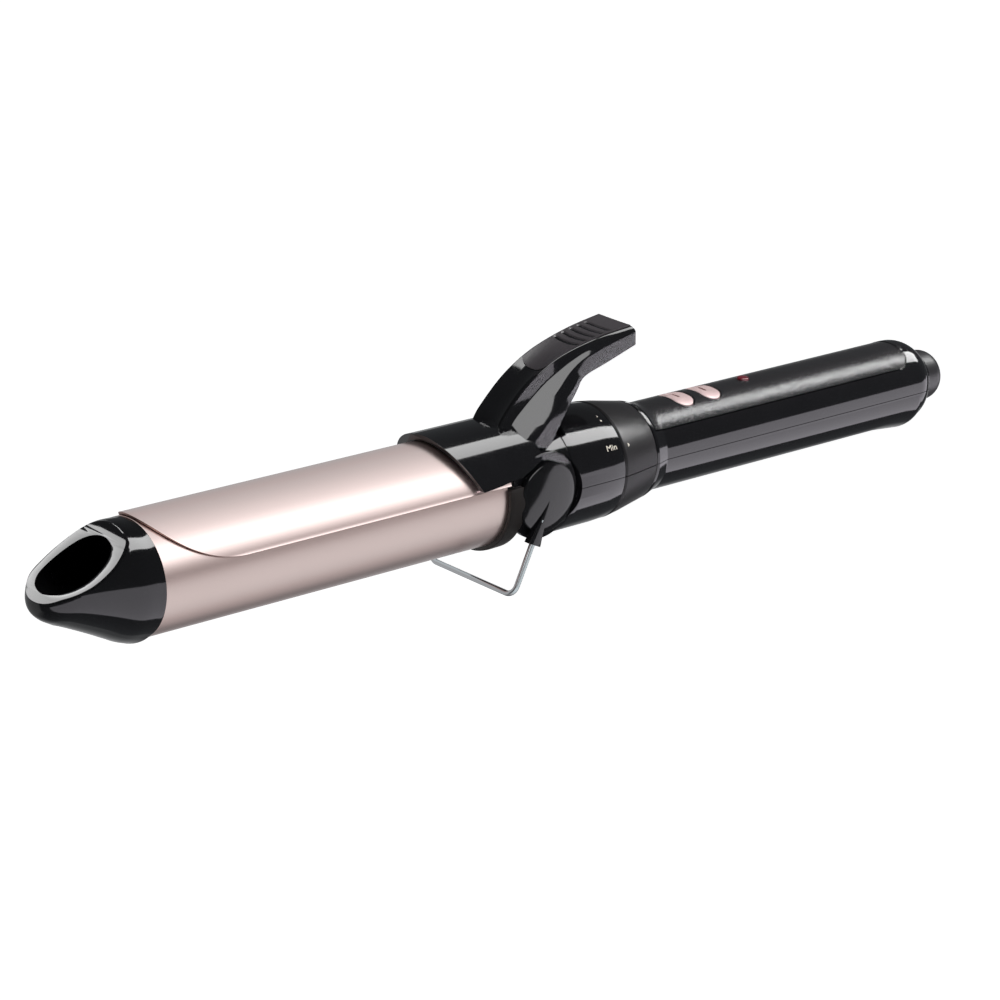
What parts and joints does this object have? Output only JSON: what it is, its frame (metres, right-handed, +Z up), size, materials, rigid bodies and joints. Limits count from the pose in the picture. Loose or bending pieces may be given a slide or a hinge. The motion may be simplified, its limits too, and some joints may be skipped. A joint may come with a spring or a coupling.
{
  "type": "curling iron",
  "caption": "Handheld electric curling iron: heated barrel with a sprung clip and thumb lever, fold-out wire stand, temperature dial, push buttons and a cord swivel.",
  "frame": {"origin": "centre of the footprint, on the surface that the iron stands on with its stand unfolded", "axes": "+Z up, +X along the floor from the cool tip towards the cord end, +Y to the right seen from the tip; the barrel's axis is tipped up at the tip by about four degrees"},
  "size_m": [0.4034, 0.0444, 0.0752],
  "materials": {
    "rose_metal": "satin rose metallic lacquer",
    "gloss_black": "high gloss moulded",
    "satin_black": "fine satin moulded",
    "hot_black": "matt heat-resistant moulding",
    "rose_plastic": "satin rose moulding",
    "steel": "zinc plated",
    "chrome_wire": "bright chrome",
    "aluminium": "extruded",
    "ceramic": "fired",
    "brass": "bright",
    "film": "polyimide film",
    "lead_sleeve": "silicone",
    "board": "solder mask",
    "dark_parts": "moulded",
    "nylon": "natural",
    "red_lens": "clear red",
    "white_print": "printed",
    "spring_steel": "oiled"
  },
  "bodies": {
    "base": {"barrel_tube": "rose_metal", "cool_tip": "gloss_black", "tip_bracket": "steel", "tip_screw": "steel", "heater_block_upper": "aluminium", "heater_block_lower": "aluminium", "ptc_stones": "ceramic", "electrode_strips": "brass", "insulation_film": "film", "thermistor": "nylon", "thermal_fuse": "nylon", "heater_leads": "lead_sleeve", "barrel_collar": "hot_black", "collar_screws": "steel", "hinge_yoke": "gloss_black", "hinge_pins": "steel", "neck_sleeve": "dark_parts", "scale_housing_upper": "gloss_black", "scale_housing_lower": "gloss_black", "dial_track": "board", "handle_shell_upper": "gloss_black", "handle_shell_lower": "gloss_black", "top_panel": "satin_black", "circuit_board": "board", "power_components": "dark_parts", "push_switches": "dark_parts", "indicator_led": "red_lens", "indicator_lens": "red_lens", "shell_screws": "steel", "supply_leads": "lead_sleeve", "brush_holder": "dark_parts", "contact_brushes": "brass", "swivel_bushing": "nylon"},
    "clip": {"clip_plate": "rose_metal", "clip_lever": "gloss_black", "thumb_pad": "satin_black", "clip_rivets": "steel", "clip_spring": "spring_steel"},
    "stand": {"stand_wire": "chrome_wire", "stand_hub_left": "gloss_black", "stand_hub_right": "gloss_black"},
    "dial": {"dial_ring_upper": "satin_black", "dial_ring_lower": "satin_black", "dial_pointer": "white_print", "dial_wiper": "brass"},
    "on_button": {"on_button": "rose_plastic"},
    "off_button": {"off_button": "rose_plastic"},
    "swivel": {"swivel_gland": "satin_black", "slip_rings": "brass"}
  },
  "joints": [
    {"name": "clip_hinge", "type": "hinge", "parent": "base", "child": "clip", "pos_m": [-0.01098, 0, 0.03128], "axis": [0, 1, 0], "range_deg": [0, 14], "stiffness_Nm_per_rad": 0.5, "springref_deg": -28.65, "deforming": ["clip_spring"]},
    {"name": "stand_hinge", "type": "hinge", "parent": "base", "child": "stand", "pos_m": [-0.01098, 0, 0.03128], "axis": [0, 1, 0], "range_deg": [-72, 0]},
    {"name": "dial_turn", "type": "hinge", "parent": "base", "child": "dial", "pos_m": [0.03389, 0, 0.02783], "axis": [-0.9971, 0, 0.0767], "range_deg": [0, 120]},
    {"name": "on_button_press", "type": "slide", "parent": "base", "child": "on_button", "axis": [-0.0767, 0, -0.9971], "range_m": [0, 0.0008], "stiffness_N_per_m": 500, "springref_m": -0.001},
    {"name": "off_button_press", "type": "slide", "parent": "base", "child": "off_button", "axis": [-0.0767, 0, -0.9971], "range_m": [0, 0.0008], "stiffness_N_per_m": 500, "springref_m": -0.001},
    {"name": "cord_swivel", "type": "hinge", "parent": "base", "child": "swivel", "pos_m": [0.19242, 0, 0.01562], "axis": [0.9971, 0, -0.0767], "continuous": true}
  ]
}
